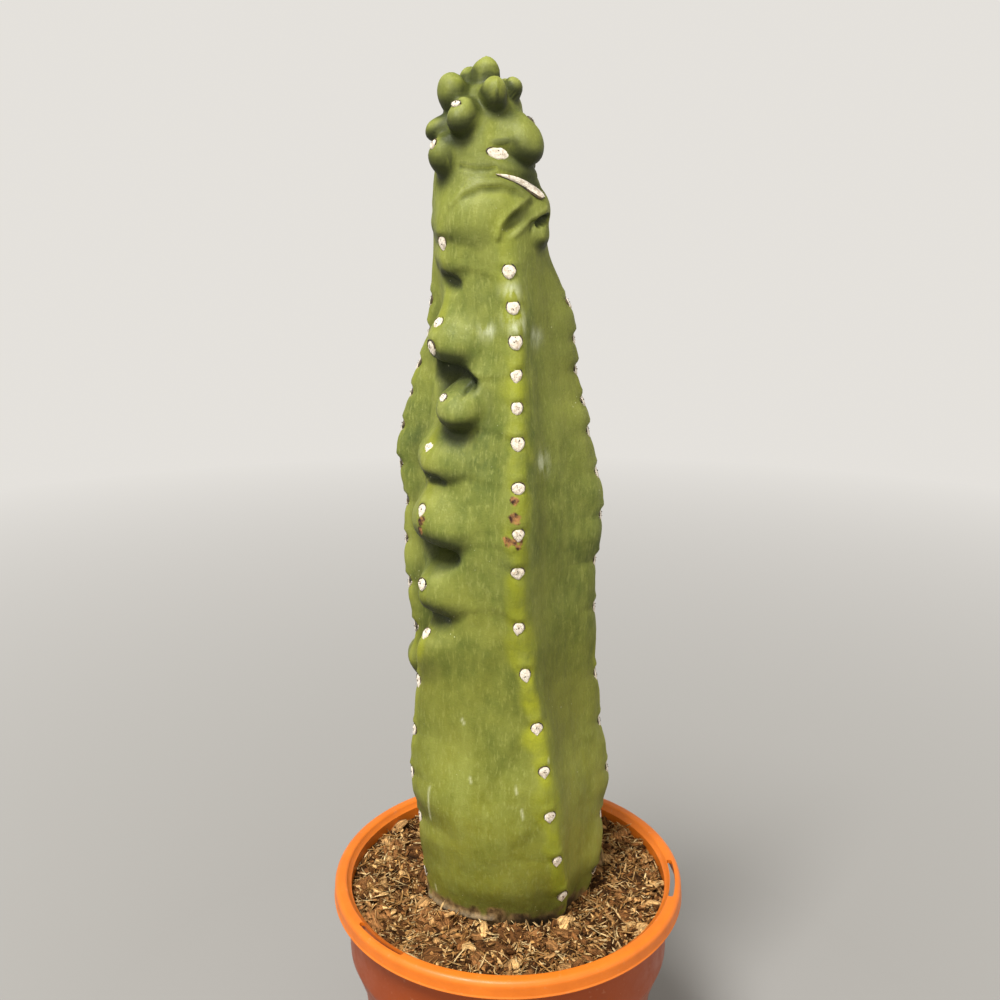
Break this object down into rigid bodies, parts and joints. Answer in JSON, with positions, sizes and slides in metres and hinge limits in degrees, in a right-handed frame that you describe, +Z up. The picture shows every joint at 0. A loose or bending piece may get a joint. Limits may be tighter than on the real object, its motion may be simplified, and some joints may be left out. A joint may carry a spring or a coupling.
{
  "type": "potted totem pole cactus",
  "caption": "Lumpy ribbed columnar cactus with woolly pads, rooted in bark and coir mix in a round plastic nursery pot.",
  "frame": {"origin": "centre of the pot's foot, on the surface that it stands on", "axes": "+Z up along the pot's axis, -Y towards the front, +X to the right of the front view"},
  "size_m": [0.17, 0.17, 0.5088],
  "materials": {
    "pot_plastic": "moulded orange-terracotta plastic, satin",
    "potting_mix": "rough brown bark and coir with straw-coloured fibres",
    "cactus_skin": "waxy olive green with a grey bloom",
    "areole_wool": "off-white felted wool"
  },
  "bodies": {
    "root": {"pot": "pot_plastic", "potting_mix": "potting_mix", "cactus_stem": "cactus_skin"}
  },
  "joints": []
}
